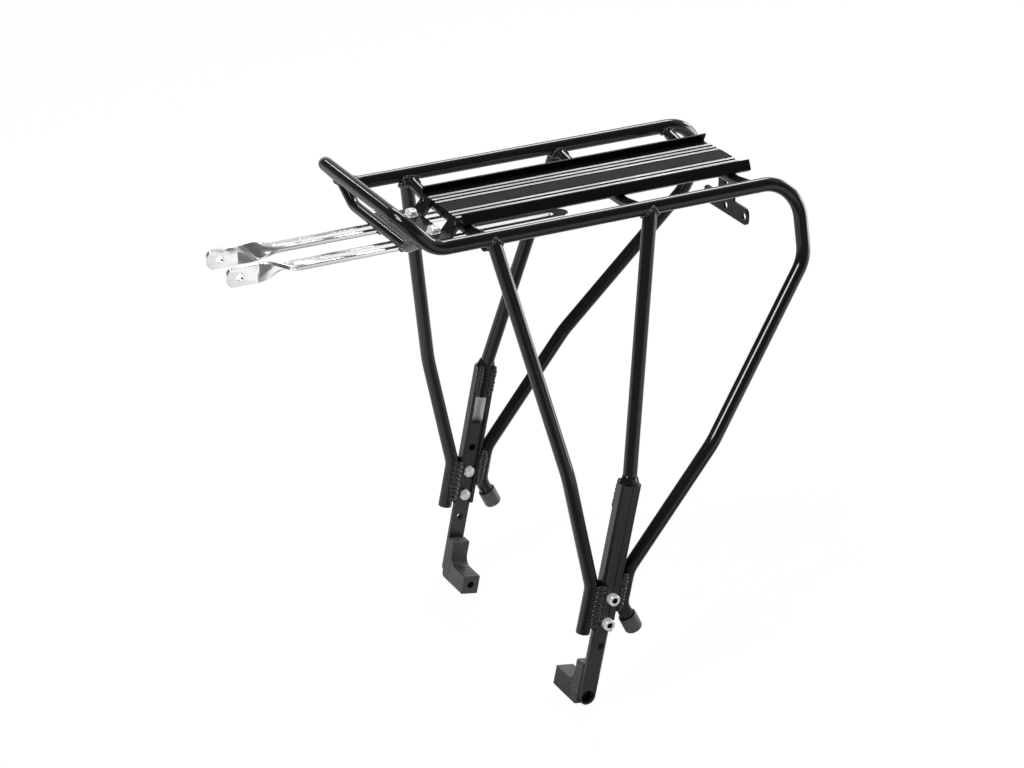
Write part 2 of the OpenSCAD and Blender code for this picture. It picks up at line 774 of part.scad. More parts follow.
arm_lap = 0.01;       // overlap that fuses the three lengths of an arm

// half circle of radius r about (x, 0), clockwise from the angle a
function half_round(x, r, a) = [for (k = [0 : 12]) [x + r * cos(a - 15 * k), r * sin(a - 15 * k)]];

module stay_arm() {
    slot_back = arm_back - slot_margin;
    twist_end = -twist_ahead - twist_length;
    half_w = arm_w / 2;
    half_tip = arm_tip_w / 2;
    tip_x = tip_round - arm_tip_ahead - tip_reach;
    tip_a = asin(half_tip / tip_round);
    color([0.8, 0.81, 0.82]) difference() {
        union() {
            translate([0, arm_y, arm_bottom]) linear_extrude(arm_t) difference() {
                polygon(concat([[-twist_ahead - arm_lap, -half_w], [-twist_ahead - arm_lap, half_w]],
                               half_round(arm_back - half_w, half_w, 90)));
                polygon(concat(half_round(slot_back - slot_w / 2, slot_w / 2, 90),
                               half_round(slot_back - slot_length + slot_w / 2, slot_w / 2, 270)));
            }
            translate([-twist_ahead, arm_y, arm_bottom + arm_t / 2]) rotate([0, -90, 0])
                linear_extrude(twist_length, twist = 90, slices = 14, scale = [1, arm_tip_w / arm_w])
                    square([arm_t, arm_w], center = true);
            translate([0, arm_y + arm_t / 2, arm_bottom + arm_t / 2]) rotate([90, 0, 0])
                linear_extrude(arm_t)
                polygon(concat([[twist_end + arm_lap, -half_tip]],
                               arc([tip_x, 0], tip_round, 180 + tip_a, 180 - tip_a),
                               [[twist_end + arm_lap, half_tip]]));
        }
        translate([-arm_tip_ahead, arm_y - arm_t, arm_bottom + arm_t / 2]) rotate([-90, 0, 0])
            cylinder(h = 2 * arm_t, d = arm_hole_d);
    }
}

guide_set_back = 2.5;  // the guide plate starts this far behind the bridge's centre line

// plate under the bridge with two cheeks for each arm, which keep it straight
module arm_guide() {
    front = guide_set_back - bridge_ahead;
    top = bridge_z - sqrt(pow(cross_d / 2 + weld_gap, 2) - pow(guide_set_back, 2));
    inner = arm_w / 2 + guide_fit;
    color([0.09, 0.09, 0.1]) {
        translate([front, -guide_span / 2, top - guide_t]) cube([guide_length, guide_span, guide_t]);
        both_sides() for (y = [arm_y - inner - guide_t, arm_y + inner])
            translate([front, y, arm_bottom])
                cube([cheek_length, guide_t, top - 0.5 * guide_t - arm_bottom]);
    }
}

// ---- end caps --------------------------------------------------------------

module end_cap() {
    start = kick_length - cap_length + cap_wall + weld_gap;
    color([0.05, 0.05, 0.05]) translate(kick_point(start)) rotate([0, 180 - kick_angle, 0]) difference() {
        cylinder(h = cap_length, d = bar_d + 2 * (cap_wall + weld_gap));
        translate([0, 0, -1]) cylinder(h = cap_length - cap_wall + 1, d = bar_d + 2 * weld_gap);
    }
}

main_frame();
left_side() front_leg();  // front_leg_left
front_leg();  // front_leg_right
left_side() middle_leg();  // middle_leg_left
middle_leg();  // middle_leg_right
cross_bar(-cross_front_ahead);  // cross_bar_front
cross_bar(cross_middle_x);  // cross_bar_middle
cross_bar(cross_back_x);  // cross_bar_back
stay_bridge();
clamp_bracket();
bracket_rivets();
left_side() leg_sleeve();  // leg_sleeve_left
leg_sleeve();  // leg_sleeve_right
left_side() leg_slider();  // leg_slider_left
leg_slider();  // leg_slider_right
left_side() foot_block();  // foot_block_left
foot_block();  // foot_block_right
leg_bolts();
leg_nuts();
deck_plate();
light_bracket();
left_side() stay_arm();  // stay_arm_left
stay_arm();  // stay_arm_right
arm_guide();
clamp_bolts();
clamp_nuts();
clamp_washers();
left_side() end_cap();  // end_cap_left
end_cap();  // end_cap_right
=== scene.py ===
import json
import math

import bmesh
import bpy
import numpy as np
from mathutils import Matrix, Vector

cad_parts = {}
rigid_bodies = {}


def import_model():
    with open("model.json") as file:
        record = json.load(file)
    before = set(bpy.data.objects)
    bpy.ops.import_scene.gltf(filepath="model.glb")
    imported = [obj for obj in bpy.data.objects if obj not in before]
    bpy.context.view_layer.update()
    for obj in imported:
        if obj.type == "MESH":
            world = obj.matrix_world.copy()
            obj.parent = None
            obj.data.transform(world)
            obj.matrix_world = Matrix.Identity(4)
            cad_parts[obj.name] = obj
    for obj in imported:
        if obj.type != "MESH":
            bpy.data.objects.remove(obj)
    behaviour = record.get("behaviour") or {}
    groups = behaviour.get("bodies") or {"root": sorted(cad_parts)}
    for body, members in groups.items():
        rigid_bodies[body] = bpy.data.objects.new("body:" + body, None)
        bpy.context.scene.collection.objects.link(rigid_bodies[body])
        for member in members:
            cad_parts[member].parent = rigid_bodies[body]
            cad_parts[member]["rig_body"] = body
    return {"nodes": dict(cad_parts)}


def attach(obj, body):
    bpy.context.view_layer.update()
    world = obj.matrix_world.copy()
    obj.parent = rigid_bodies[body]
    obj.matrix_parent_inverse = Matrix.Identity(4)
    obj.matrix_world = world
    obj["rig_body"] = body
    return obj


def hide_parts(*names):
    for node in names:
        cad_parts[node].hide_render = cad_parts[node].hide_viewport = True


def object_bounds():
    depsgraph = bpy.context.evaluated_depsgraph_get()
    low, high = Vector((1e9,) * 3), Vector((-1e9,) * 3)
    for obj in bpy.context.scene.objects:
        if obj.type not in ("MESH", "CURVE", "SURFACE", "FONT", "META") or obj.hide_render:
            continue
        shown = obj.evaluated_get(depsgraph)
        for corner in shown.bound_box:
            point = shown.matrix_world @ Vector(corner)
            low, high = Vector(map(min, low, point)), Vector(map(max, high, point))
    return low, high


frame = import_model()
cad_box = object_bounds()

# ---------------------------------------------------------------------------
# Studio
# A pale floor and a room that the camera sees as white. What lights the carrier
# is a bright back wall and a few lamps, so that gloss black tubes show crisp
# lines, and the floor is dim where the tubes would mirror it.

camera_data = bpy.data.cameras.new("camera")
camera_data.sensor_width = 36
camera_data.lens = 103.36
camera_data.clip_end = 50
camera = bpy.data.objects.new("camera", camera_data)
camera.location = (-0.8704, -1.6626, 1.0780)
camera.rotation_euler = (math.radians(64.87), 0, math.radians(-27.55))
bpy.context.scene.collection.objects.link(camera)
bpy.context.scene.camera = camera
bpy.context.scene.view_settings.view_transform = "Standard"


class Wire:
    """A number that runs between shader nodes. Arithmetic on it adds Math nodes."""

    def __init__(self, finish, socket):
        self.finish = finish
        self.socket = socket

    def math(self, operation, *others):
        values = dict(enumerate((self, *others)))
        return self.finish.node("ShaderNodeMath", {"operation": operation}, values)

    def __add__(self, other):
        return self.math("ADD", other)

    def __sub__(self, other):
        return self.math("SUBTRACT", other)

    def __mul__(self, other):
        return self.math("MULTIPLY", other)

    def __truediv__(self, other):
        return self.math("DIVIDE", other)

    def __gt__(self, other):
        return self.math("GREATER_THAN", other)

    def __lt__(self, other):
        return self.math("LESS_THAN", other)

    def __rsub__(self, other):
        return (self * -1) + other

    __radd__ = __add__
    __rmul__ = __mul__

    def absolute(self):
        return self.math("ABSOLUTE")

    def smooth(self, low, high, to_low=0.0, to_high=1.0):
        """Goes smoothly from to_low to to_high while this wire goes from low to high."""
        values = {"Value": self, "From Min": low, "From Max": high, "To Min": to_low, "To Max": to_high}
        return self.finish.node("ShaderNodeMapRange", {"interpolation_type": "SMOOTHSTEP"}, values)

    def between(self, low, high):
        """A noise, most of which lies from 0.3 to 0.7, spread from low to high."""
        return self.smooth(0.3, 0.7, low, high)


class Finish:
    """One material, built node by node."""

    def __init__(self, name, block=None):
        self.block = block or bpy.data.materials.new(name)
        self.block.use_nodes = True
        self.tree = self.block.node_tree
        self.tree.nodes.clear()

    def node(self, kind, settings=None, values=None, out=0):
        """One node: its settings first, then the values or links of its sockets."""
        made = self.tree.nodes.new(kind)
        for key, value in (settings or {}).items():
            setattr(made, key, value)
        for key, value in (values or {}).items():
            if isinstance(value, Wire):
                self.tree.links.new(value.socket, made.inputs[key])
            else:
                made.inputs[key].default_value = value
        return Wire(self, made.outputs[out]) if made.outputs else None

    def place(self, scale=(1, 1, 1)):
        """Object coordinates, stretched so that a pattern runs along the piece."""
        here = self.node("ShaderNodeTexCoord", out="Object")
        return self.node("ShaderNodeMapping", None, {"Vector": here, "Scale": scale})

    def noise(self, size, detail=2.0, stretch=(1, 1, 1)):
        """Noise whose blotches are about size metres across."""
        values = {"Vector": self.place(stretch), "Scale": 1 / size, "Detail": detail}
        return self.node("ShaderNodeTexNoise", None, values)

    def along(self, axis):
        """The place on the piece along X, Y or Z, in metres."""
        return self.node("ShaderNodeSeparateXYZ", None, {"Vector": self.place()}, out=axis)

    def tint(self, mask, dark, light):
        """A colour between two colours."""
        # a Mix node has one A, B and Result for each type, and the colour ones are 6, 7 and 2
        return self.node("ShaderNodeMix", {"data_type": "RGBA"},
                         {0: mask, 6: (*dark, 1), 7: (*light, 1)}, out=2)

    def bump(self, height, depth, strength=1.0):
        """Relief that is depth metres deep where height is 1."""
        return self.node("ShaderNodeBump", None,
                         {"Height": height, "Distance": depth, "Strength": strength})

    def surface(self, **sockets):
        """The material with these sockets of its shader set or linked."""
        named = {key.replace("_", " ").title().replace("Ior", "IOR"): value
                 for key, value in sockets.items()}
        shader = self.node("ShaderNodeBsdfPrincipled", None, named)
        self.node("ShaderNodeOutputMaterial", None, {"Surface": shader})
        return self.block


WHITE = (1, 1, 1, 1)
paper_colour, paper_glow = (0.9, 0.9, 0.9, 1), 0.955
# about this place on the near side, the floor that the tubes mirror is dimmer
dim_x, dim_y = 0.15, -0.22
dim_near, dim_far, dimming = 0.20, 0.36, 0.66
# the floor that the tubes mirror is dark, but not under the carrier or in two fans of bearings
dark_floor = 0.17
right_from, right_to = (-97, -80), (80, 110)
left_from, left_to = (-80, -62), (28, 46)
under_near, under_far = 0.19, 0.27

floor_paper = Finish("floor_paper")
seen = floor_paper.node("ShaderNodeLightPath", out="Is Camera Ray")
mirrored = floor_paper.node("ShaderNodeLightPath", out="Is Glossy Ray")
refracted = floor_paper.node("ShaderNodeLightPath", out="Is Transmission Ray")
shown = seen.math("MAXIMUM", mirrored).math("MAXIMUM", refracted)
paper = floor_paper.node("ShaderNodeBsdfDiffuse", None, {"Color": paper_colour})
floor_x, floor_y = floor_paper.along("X"), floor_paper.along("Y")
off_x, off_y = floor_x - dim_x, floor_y - dim_y
from_dim = (off_x * off_x + off_y * off_y).math("SQRT")
glow_strength = 1 - mirrored * from_dim.smooth(dim_near, dim_far, dimming, 0.0)
glow = floor_paper.node("ShaderNodeEmission", None, {"Color": WHITE, "Strength": glow_strength})
shade = floor_paper.node("ShaderNodeEmission", None, {"Color": WHITE, "Strength": dark_floor})
bearing = floor_y.math("ARCTAN2", floor_x) * (180 / math.pi)
behind = (floor_y * -1).math("ARCTAN2", floor_x * -1) * (180 / math.pi)
right_hand = bearing.smooth(*right_from) * bearing.smooth(*right_to, 1.0, 0.0)
left_hand = behind.smooth(*left_from) * behind.smooth(*left_to, 1.0, 0.0)
from_middle = (floor_x * floor_x + floor_y * floor_y).math("SQRT")
under = from_middle.smooth(under_near, under_far, 1.0, 0.0)
open_side = (right_hand + left_hand).math("MAXIMUM", under)
lit = floor_paper.node("ShaderNodeMixShader", None, {0: shown * paper_glow, 1: paper, 2: glow})
mixed = floor_paper.node("ShaderNodeMixShader", None, {0: mirrored * (1 - open_side), 1: lit, 2: shade})
floor_paper.node("ShaderNodeOutputMaterial", None, {"Surface": mixed})

floor_half, floor_drop = 12, 0.0006
corners = [(x * floor_half, y * floor_half, cad_box[0].z - floor_drop)
           for x, y in ((-1, -1), (1, -1), (1, 1), (-1, 1))]
floor_mesh = bpy.data.meshes.new("floor")
floor_mesh.from_pydata(corners, [], [(0, 1, 2, 3)])
floor_mesh.materials.append(floor_paper.block)
floor = bpy.data.objects.new("floor", floor_mesh)
bpy.context.scene.collection.objects.link(floor)

back_of_room = (0.866, 0.5, 0)
front_light, back_light, upper_share = 0.20, 1.1, 0.5

room = bpy.data.worlds.new("room")
bpy.context.scene.world = room
walls = Finish("room", room)
sky = walls.node("ShaderNodeTexCoord", out="Generated")
toward_back = walls.node("ShaderNodeVectorMath", {"operation": "DOT_PRODUCT"},
                         {0: sky, 1: back_of_room}, out="Value")
sky_height = walls.node("ShaderNodeSeparateXYZ", None, {"Vector": sky}, out="Z")
bright = (toward_back.smooth(0.30, 0.62, front_light, back_light)
          * sky_height.smooth(0.12, 0.32, 1.0, upper_share))
backdrop_seen = walls.node("ShaderNodeLightPath", out="Is Camera Ray")
backdrop_through = walls.node("ShaderNodeLightPath", out="Is Transmission Ray")
backdrop = backdrop_seen.math("MAXIMUM", backdrop_through)
room_light = bright * (1 - backdrop) + backdrop
light = walls.node("ShaderNodeBackground", None, {"Color": WHITE, "Strength": room_light})
walls.node("ShaderNodeOutputWorld", None, {"Surface": light})


def softbox(name, place, aim, width, height, power):
    """A lamp of width by height metres, turned from its place to its aim, with its power in watts."""
    lamp = bpy.data.lights.new(name, "AREA")
    lamp.shape = "RECTANGLE"
    lamp.size = width
    lamp.size_y = height
    lamp.energy = power
    box = bpy.data.objects.new(name, lamp)
    box.location = place
    box.rotation_euler = (Vector(aim) - Vector(place)).to_track_quat("-Z", "Y").to_euler()
    bpy.context.scene.collection.objects.link(box)


softbox("rail_strip", (0.947, 1.139, 1.647), (0, 0, 0.34), 0.9, 0.6, 18)
softbox("hoop_strip", (-0.206, 1.523, 1.274), (-0.117, 0, 0.366), 0.09, 0.28, 1.7)
softbox("top_box", (-0.7, -0.1, 1.9), (0, 0, 0.2), 0.7, 0.5, 14)
softbox("corner_box", (1.9, 0.65, 0.85), (0, 0, 0.3), 0.5, 0.5, 9)
softbox("leg_box", (-1.34, -0.6, 1.9), (0.14, -0.1, 0.24), 0.8, 0.5, 27)
softbox("bend_box", (1.45, -0.10, 0.26), (0.17, 0, 0.30), 1.0, 0.55, 10)


# ---------------------------------------------------------------------------
# Main frame
# One 10 mm aluminium tube, cold bent into the hoop, both rails and both back
# legs, and powder coated gloss black with the rest of the welded frame.

MM = 0.001
BEND_STEP = math.radians(4)
BAR_SIDES = 48


def rounded(corners, radii):
    """The centre line through the corners, each inner corner bent to its radius."""
    corners = [np.array(c, float) for c in corners]
    line = [corners[0]]
    for before, corner, after, radius in zip(corners, corners[1:], corners[2:], radii):
        u = (corner - before) / np.linalg.norm(corner - before)
        v = (after - corner) / np.linalg.norm(after - corner)
        turn = math.acos(max(-1, min(1, float(u @ v))))
        centre = corner + (v - u) / np.linalg.norm(v - u) * radius / math.cos(turn / 2)
        start = corner - u * radius * math.tan(turn / 2) - centre
        count = max(2, round(turn / BEND_STEP))
        for k in range(count + 1):
            a = turn * k / count
            line.append(centre + start * math.cos(a) + u * radius * math.sin(a))
    line.append(corners[-1])
    return np.array(line)


def swept(line, radius, bore=None):
    """A round bar along the line. bore is the depth and radius of a hole in its far end."""
    ahead = np.diff(line, axis=0)
    ahead /= np.linalg.norm(ahead, axis=1)[:, None]
    runs = np.vstack([ahead[:1], ahead[:-1] + ahead[1:], ahead[-1:]])
    runs /= np.linalg.norm(runs, axis=1)[:, None]
    side = np.array([0.12, 0.35, 1.0])  # where the first facet looks
    rings = []
    for centre, run in zip(line, runs):
        side = side - run * (side @ run)
        side /= np.linalg.norm(side)
        over = np.cross(run, side)
        rings.append((centre, side.copy(), over, radius))
    if bore:
        depth, inner = bore
        centre, side, over, _ = rings[-1]
        rings.append((centre, side, over, inner))
        rings.append((centre - runs[-1] * depth, side, over, inner))
    angles = np.arange(BAR_SIDES) * 2 * math.pi / BAR_SIDES
    verts = np.vstack([centre + r * (np.outer(np.cos(angles), side) + np.outer(np.sin(angles), over))
                       for centre, side, over, r in rings])
    faces = []
    for first in range(0, (len(rings) - 1) * BAR_SIDES, BAR_SIDES):
        for k in range(BAR_SIDES):
            after = (k + 1) % BAR_SIDES
            faces.append([first + k, first + after, first + BAR_SIDES + after, first + BAR_SIDES + k])
    last = (len(rings) - 1) * BAR_SIDES
    faces.append(list(range(BAR_SIDES))[::-1])
    faces.append([last + k for k in range(BAR_SIDES)])
    return verts, faces


def build(name, shells, body, material, replaced=(), sharp=35):
    """One piece from its shells, with smooth shading up to the sharp angle."""
    verts, faces, start = [], [], 0
    for shell_verts, shell_faces in shells:
        verts.extend(map(tuple, shell_verts))
        faces.extend([start + k for k in face] for face in shell_faces)
        start += len(shell_verts)
    mesh = bpy.data.meshes.new(name)
    mesh.from_pydata(verts, [], faces)
    mesh.validate()
    made = bmesh.new()
    made.from_mesh(mesh)
    bmesh.ops.recalc_face_normals(made, faces=made.faces)
    made.to_mesh(mesh)
    made.free()
    mesh.shade_smooth()
    mesh.set_sharp_from_angle(angle=math.radians(sharp))
    mesh.materials.append(material)
    piece = bpy.data.objects.new(name, mesh)
    bpy.context.scene.collection.objects.link(piece)
    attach(piece, body)
    if replaced:
        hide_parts(*replaced)


powder = Finish("gloss_black_powder")
haze = powder.noise(0.03, 3)
peel = powder.noise(0.0016, 1)
gloss_black = powder.surface(
    base_color=(0.006, 0.006, 0.0065, 1),
    roughness=haze.between(0.09, 0.14),
    specular_ior_level=0.42,
    normal=powder.bump(peel, 0.00001, 0.03),
)

# sizes and places in mm, up from the axle, back from it and out from the carrier's middle
TUBE_R = 5
rail_y, rail_z, rail_back = 66.0, 342.5, 185
hoop_x, hoop_reach, hoop_rise = -94.5, 23.2, 23.5
leg_y, leg_bend_z, back_bend_z = 108.0, 176.5, 288
tilt = math.radians(11)  # the lean of the telescopic legs
run = math.tan(tilt)
sleeve_half, back_gap = 8, 0.1
back_lane = (sleeve_half + back_gap + TUBE_R) / math.cos(tilt)
back_meet, back_rake = 93.7, math.tan(math.radians(38.3))
kick, kick_z, kick_length = math.radians(26), 67.5, 22.5


def back_leg_x(z):
    return back_meet * run + back_lane + (z - back_meet) * back_rake


def splay(z):
    return rail_y + (leg_y - rail_y) * (rail_z - z) / (rail_z - leg_bend_z)


def left(points):
    """The same points on the other side of the carrier."""
    return [(p[0], -p[1], p[2]) for p in points]


kick_x = kick_z * run + back_lane
right_half = [
    (kick_x + kick_length * math.sin(kick), leg_y, kick_z - kick_length * math.cos(kick)),
    (kick_x, leg_y, kick_z),
    (back_leg_x(back_meet), leg_y, back_meet),
    (back_leg_x(leg_bend_z), leg_y, leg_bend_z),
    (back_leg_x(back_bend_z), splay(back_bend_z), back_bend_z),
    (rail_back, rail_y, rail_z),
    (hoop_x, rail_y, rail_z),
    (hoop_x - hoop_reach, rail_y, rail_z + hoop_rise),
]
half_bends = [14, 22, 55, 29, 28, 22, 17]
loop = rounded(right_half + left(right_half)[::-1], half_bends + half_bends[::-1]) * MM
build("main_tube", [swept(loop, TUBE_R * MM)], "carrier", gloss_black, ["main_frame"])


# ---------------------------------------------------------------------------
# Front and middle legs
# The same tube. The front legs run down beside the sleeves and end open, and
# the middle legs nest in the tops of the sleeves' channels.

front_top, front_gap, front_foot = -52, 0.9, 53.5
front_bends, front_rake = [55, 22], math.tan(math.radians(12.1))
front_bore = (12 * MM, 3.5 * MM)  # depth and radius of the open end
middle_top, middle_y, middle_bend_z, middle_foot = 68, 107.65, 163, 140.5
middle_bends = [24]

front_lane = (sleeve_half + front_gap + TUBE_R) / math.cos(tilt)
front_meet = (-front_lane - front_top - front_rake * rail_z) / (-front_rake - run)
front_foot_z = front_foot * math.cos(tilt)
front_points = [
    (front_top, rail_y, rail_z),
    (front_top + (rail_z - leg_bend_z) * front_rake, leg_y, leg_bend_z),
    (front_meet * run - front_lane, leg_y, front_meet),
    (front_foot_z * run - front_lane, leg_y, front_foot_z),
]
middle_points = [
    (middle_top, rail_y, rail_z),
    (middle_bend_z * run, middle_y, middle_bend_z),
    (middle_foot * math.sin(tilt), middle_y, middle_foot * math.cos(tilt)),
]
for side, turned in (("right", list), ("left", left)):
    front_line = rounded(turned(front_points), front_bends) * MM
    build(f"front_tube_{side}", [swept(front_line, TUBE_R * MM, front_bore)], "carrier",
          gloss_black, [f"front_leg_{side}"])
    middle_line = rounded(turned(middle_points), middle_bends) * MM
    build(f"middle_tube_{side}", [swept(middle_line, TUBE_R * MM)], "carrier",
          gloss_black, [f"middle_leg_{side}"])


# ---------------------------------------------------------------------------
# Cross bars and bridge
# 8 mm rod, bent down in the middle. Three bars carry the deck and the bridge
# holds the guide of the stay arms. Their ends are cut to the rails and welded.

ROD_R = 4
cross_places = {"front": -50, "middle": 67.5, "back": 156.5}
cross_flat_y, cross_flat_z = 34, 334.25
cross_knee_y, cross_knee_z = 59.5, 338.0
cross_end_y, cross_end_z = 65.5, 341.5
cross_bends = [9, 26, 26, 9]
bridge_x, bridge_flat_y, bridge_flat_z, bridge_bends = -102.5, 42, 336.95, [16, 16]

for place, x in cross_places.items():
    right_end = [(x, cross_end_y, cross_end_z), (x, cross_knee_y, cross_knee_z),
                 (x, cross_flat_y, cross_flat_z)]
    cross_line = rounded(right_end + left(right_end)[::-1], cross_bends) * MM
    build(f"cross_rod_{place}", [swept(cross_line, ROD_R * MM)], "carrier", gloss_black,
          [f"cross_bar_{place}"])

bridge_end_z = rail_z + (hoop_x - bridge_x) * hoop_rise / hoop_reach
right_end = [(bridge_x, rail_y, bridge_end_z), (bridge_x, bridge_flat_y, bridge_flat_z)]
bridge_line = rounded(right_end + left(right_end)[::-1], bridge_bends) * MM
build("bridge_rod", [swept(bridge_line, ROD_R * MM)], "carrier", gloss_black,
      ["stay_bridge"])


# ---------------------------------------------------------------------------
# Weld beads
# Ripples of filler where bars meet and down the sleeves, each a tilted lens one
# torch step from the last, and a shoulder of weld metal on top of each sleeve,
# all coated with the frame.


class Pattern(Finish):
    """A Geometry Nodes tree with named sizes."""

    def __init__(self, name, sizes):
        self.tree = bpy.data.node_groups.new(name, "GeometryNodeTree")
        self.sizes = sizes
        face = self.tree.interface
        face.new_socket("Geometry", in_out="INPUT", socket_type="NodeSocketGeometry")
        for key, value in sizes.items():
            kind = "NodeSocketInt" if isinstance(value, int) else "NodeSocketFloat"
            face.new_socket(key, in_out="INPUT", socket_type=kind)
        face.new_socket("Geometry", in_out="OUTPUT", socket_type="NodeSocketGeometry")
        self.given = self.tree.nodes.new("NodeGroupInput")

    def size(self, name):
        return Wire(self, self.given.outputs[name])

    def ends(self, geometry, material):
        """Real faces in one material, as the tree's result."""
        solid = self.node("GeometryNodeRealizeInstances", None, {"Geometry": geometry})
        coated = self.node("GeometryNodeSetMaterial", None, {"Geometry": solid, "Material": material})
        self.node("NodeGroupOutput", None, {"Geometry": coated})

    def grown(self, name, points, marks, body, slot):
        """The piece that the tree makes from points, which carry the attributes in marks."""
        mesh = bpy.data.meshes.new(name + "_points")
        mesh.from_pydata([tuple(p) for p in points], [], [])
        for key, values in marks.items():
            values = np.array(values, float)
            kind, field = ("FLOAT_VECTOR", "vector") if values.ndim == 2 else ("FLOAT", "value")
            mesh.attributes.new(key, kind, "POINT").data.foreach_set(field, values.ravel())
        seed = bpy.data.objects.new(name + "_points", mesh)
        bpy.context.scene.collection.objects.link(seed)
        grow = seed.modifiers.new("pattern", "NODES")
        grow.node_group = self.tree
        for item in self.tree.interface.items_tree:
            if item.in_out == "INPUT" and item.name in self.sizes:
                grow[item.identifier] = self.sizes[item.name]
        bpy.context.view_layer.update()
        done = bpy.data.meshes.new_from_object(seed.evaluated_get(bpy.context.evaluated_depsgraph_get()))
        bpy.data.objects.remove(seed)
        done.name = name
        piece = bpy.data.objects.new(name, done)
        bpy.context.scene.collection.objects.link(piece)
        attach(piece, body)


ripples = Pattern("weld_ripples", {
    "Ripple length": 0.0030, "Ripple height": 0.0018, "Lean": 0.48, "Unevenness": 0.13, "Seed": 7})
lens = ripples.node("GeometryNodeMeshUVSphere", None, {"Segments": 12, "Rings": 7, "Radius": 1.0})
lens = ripples.node("GeometryNodeSetShadeSmooth", None, {0: lens})
marks = {key: ripples.node("GeometryNodeInputNamedAttribute", {"data_type": kind}, {"Name": key})
         for key, kind in (("outward", "FLOAT_VECTOR"), ("onward", "FLOAT_VECTOR"), ("half", "FLOAT"))}
standing = ripples.node("FunctionNodeAlignRotationToVector", {"axis": "Z"}, {"Vector": marks["outward"]})
facing = ripples.node("FunctionNodeAlignRotationToVector", {"axis": "X", "pivot_axis": "Z"},
                      {"Rotation": standing, "Vector": marks["onward"]})
uneven = ripples.size("Unevenness")
wobble = [ripples.node("FunctionNodeRandomValue", {"data_type": "FLOAT"},
                       {2: 1 - uneven, 3: 1 + uneven, 8: ripples.size("Seed") + k}, out=1)
          for k in range(4)]
lean = ripples.node("ShaderNodeCombineXYZ", None, {1: ripples.size("Lean") * wobble[0] * -1})
leaning = ripples.node("FunctionNodeEulerToRotation", None, {0: lean})
turned_lens = ripples.node("FunctionNodeRotateRotation", {"rotation_space": "LOCAL"},
                           {"Rotation": facing, "Rotate By": leaning})
lens_size = ripples.node("ShaderNodeCombineXYZ", None, {0: ripples.size("Ripple length") * wobble[1],
                                                        1: marks["half"] * wobble[2],
                                                        2: ripples.size("Ripple height") * wobble[3]})
beads = ripples.node("GeometryNodeInstanceOnPoints", None, {
    "Points": Wire(ripples, ripples.given.outputs[0]), "Instance": lens, "Rotation": turned_lens,
    "Scale": lens_size})

weld = Finish("coated_weld")
weld_black = weld.surface(
    base_color=(0.018, 0.018, 0.019, 1),
    roughness=weld.noise(0.002, 2).between(0.18, 0.32),
)
ripples.ends(beads, weld_black)

places, outward, onward, half_width = [], [], [], []


def unit(v):
    return np.array(v, float) / np.linalg.norm(v)


def bead_ring(foot, ahead, branch_r, host_foot, host_ahead, host_r, half, lowest=0):
    """Ripples round a branch bar's joint, from foot on, with a host bar, none below lowest. In mm."""
    step, sink = 2.0, 0.7
    longer = 1.15  # how much longer the joint is than the branch's own round
    foot, ahead = np.array(foot, float), unit(ahead)
    host_foot, host_ahead = np.array(host_foot, float), unit(host_ahead)
    first = unit(np.cross(ahead, host_ahead))
    second = np.cross(ahead, first)
    count = round(2 * math.pi * branch_r * longer / step)
    ring, out, kept = [], [], []
    for k in range(count):
        a = 2 * math.pi * k / count
        normal = first * math.cos(a) + second * math.sin(a)
        start = foot + normal * branch_r - host_foot
        start_across = start - host_ahead * (start @ host_ahead)
        ahead_across = ahead - host_ahead * (ahead @ host_ahead)
        p, q = ahead_across @ ahead_across, start_across @ ahead_across
        inside = q * q - p * (start_across @ start_across - host_r * host_r)
        reach = (-q + math.sqrt(max(inside, 0))) / p
        point = foot + normal * branch_r + ahead * reach
        from_host = point - host_foot
        host_normal = unit(from_host - host_ahead * (from_host @ host_ahead))
        out.append(unit(normal + host_normal))
        kept.append(inside > 0 and point[2] > lowest)
        ring.append(point - out[-1] * sink)
    for k in (k for k in range(count) if kept[k]):
        places.append(ring[k])
        outward.append(out[k])
        onward.append(unit(ring[(k + 1) % count] - ring[k - 1]))
        half_width.append(half)


def bead_line(start, end, out, half, step):
    """Ripples in a straight line, a step apart. Sizes in mm."""
    end_share = 0.8  # the first and the last are narrower
    start, end = np.array(start, float), np.array(end, float)
    count = max(2, round(np.linalg.norm(end - start) / step))
    for k in range(count + 1):
        places.append(start + (end - start) * k / count)
        outward.append(unit(out))
        onward.append(unit(end - start))
        half_width.append(half * (end_share if k in (0, count) else 1))


def on_leg(across, along, y):
    """A point beside the telescopic leg, along it from the axle and across it to the back."""
    return (across * math.cos(tilt) + along * math.sin(tilt), y,
            along * math.cos(tilt) - across * math.sin(tilt))


rail_axis = (1, 0, 0)
ring_half, bridge_ring_half, bar_ring_drop = 1.5, 2.0, 3.5
cross_weld_y, cross_weld_z = 63.0, 338.5
# in the corners between the legs and the cross bars: from x, to x, y, z, which way the bead looks in
# y and z, and half its width
corner_step = 2.2
corner_beads = [
    (-57, -45, 62.6, 336.2, (-0.7, -0.7), 4.6),
    (-55, -46, 61.6, 341, (-1, 0.2), 3.0),
    (63, 73, 63.0, 336.6, (-0.7, -0.7), 3.6),
]
# down the sleeves, on their outer and inner faces: y, outward, and how far ahead and back of the axis
sleeve_faces = [(112.6, 1, -8.7, 9.2), (104.2, -1, -10.3, 9.9)]
front_bead, front_bead_half, front_bead_step, front_bead_lean = (58, 86), 5.0, 3.6, -0.1
back_bead, back_bead_half, back_bead_step, back_bead_lean = (70, 95), 3.4, 2.8, 0.2
# inside the channel, on both flanks of the nested leg
nest_across, nest_y, nest_bead, nest_half, nest_step = 5.3, 104.4, (143, 163), 2.6, 2.9

